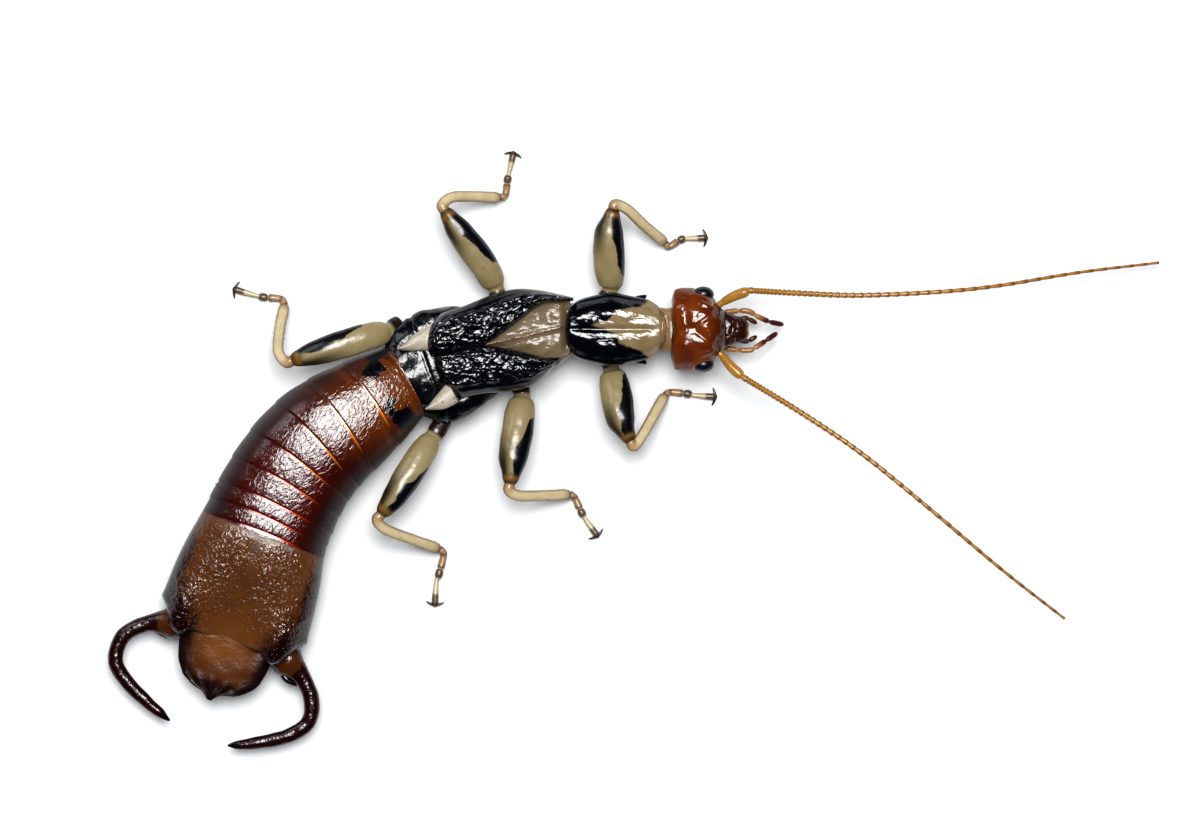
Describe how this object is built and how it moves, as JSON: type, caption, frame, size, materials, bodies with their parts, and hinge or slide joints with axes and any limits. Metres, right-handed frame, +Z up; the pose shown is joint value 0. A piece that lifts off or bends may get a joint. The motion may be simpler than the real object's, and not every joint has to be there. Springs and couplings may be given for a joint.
{
  "type": "earwig",
  "caption": "Still, life-size model of a large winged tropical earwig in a walking pose, with the tail curved to its right, hooked forceps open and long feelers spread.",
  "frame": {"origin": "on the floor, in the middle of the box that the model fills", "axes": "+X forward along the front body, the longest extent; +Y to the animal's left; +Z up, the shortest extent"},
  "size_m": [0.0633, 0.0361, 0.005],
  "materials": {
    "head_shell": "glossy red-brown shell",
    "dark_mouth": "glossy near-black red shell",
    "eye": "blue-black facets",
    "feeler": "satin amber shell, ringed",
    "black_shell": "glossy wrinkled black shell",
    "tan_shell": "satin olive-tan shell",
    "cream_wing": "matt cream, leathery",
    "membrane": "soft pale brown skin",
    "abdomen_shell": "glossy amber to maroon shell",
    "brown_plate": "satin brown shell with fine grains",
    "forceps": "glossy dark maroon shell",
    "thigh": "satin olive-cream shell with black patches",
    "shin": "satin straw-coloured shell"
  },
  "bodies": {
    "root": {"head": "head_shell", "eye_left": "eye", "eye_right": "eye", "labrum": "dark_mouth", "mandible_left": "dark_mouth", "mandible_right": "dark_mouth", "maxillary_palp_left": "feeler", "maxillary_palp_right": "feeler", "labial_palp_left": "dark_mouth", "labial_palp_right": "dark_mouth", "antenna_left_scape": "feeler", "antenna_left_1": "feeler", "antenna_left_2": "feeler", "antenna_left_3": "feeler", "antenna_right_scape": "feeler", "antenna_right_1": "feeler", "antenna_right_2": "feeler", "antenna_right_3": "feeler", "neck": "membrane", "pronotum": "black_shell", "prothorax": "membrane", "mesothorax": "black_shell", "metathorax": "black_shell", "scutellum": "tan_shell", "tegmen_left": "black_shell", "tegmen_right": "black_shell", "wing_tip_left": "cream_wing", "wing_tip_right": "cream_wing", "abdomen_1": "abdomen_shell", "abdomen_2": "abdomen_shell", "abdomen_3": "abdomen_shell", "abdomen_4": "abdomen_shell", "last_tergite": "brown_plate", "pygidium": "brown_plate", "forceps_left": "forceps", "forceps_right": "forceps", "leg_front_left_thigh": "thigh", "leg_front_left_shin": "shin", "leg_front_left_foot": "shin", "leg_front_right_thigh": "thigh", "leg_front_right_shin": "shin", "leg_front_right_foot": "shin", "leg_middle_left_thigh": "thigh", "leg_middle_left_shin": "shin", "leg_middle_left_foot": "shin", "leg_middle_right_thigh": "thigh", "leg_middle_right_shin": "shin", "leg_middle_right_foot": "shin", "leg_hind_left_thigh": "thigh", "leg_hind_left_shin": "shin", "leg_hind_left_foot": "shin", "leg_hind_right_thigh": "thigh", "leg_hind_right_shin": "shin", "leg_hind_right_foot": "shin"}
  },
  "joints": []
}
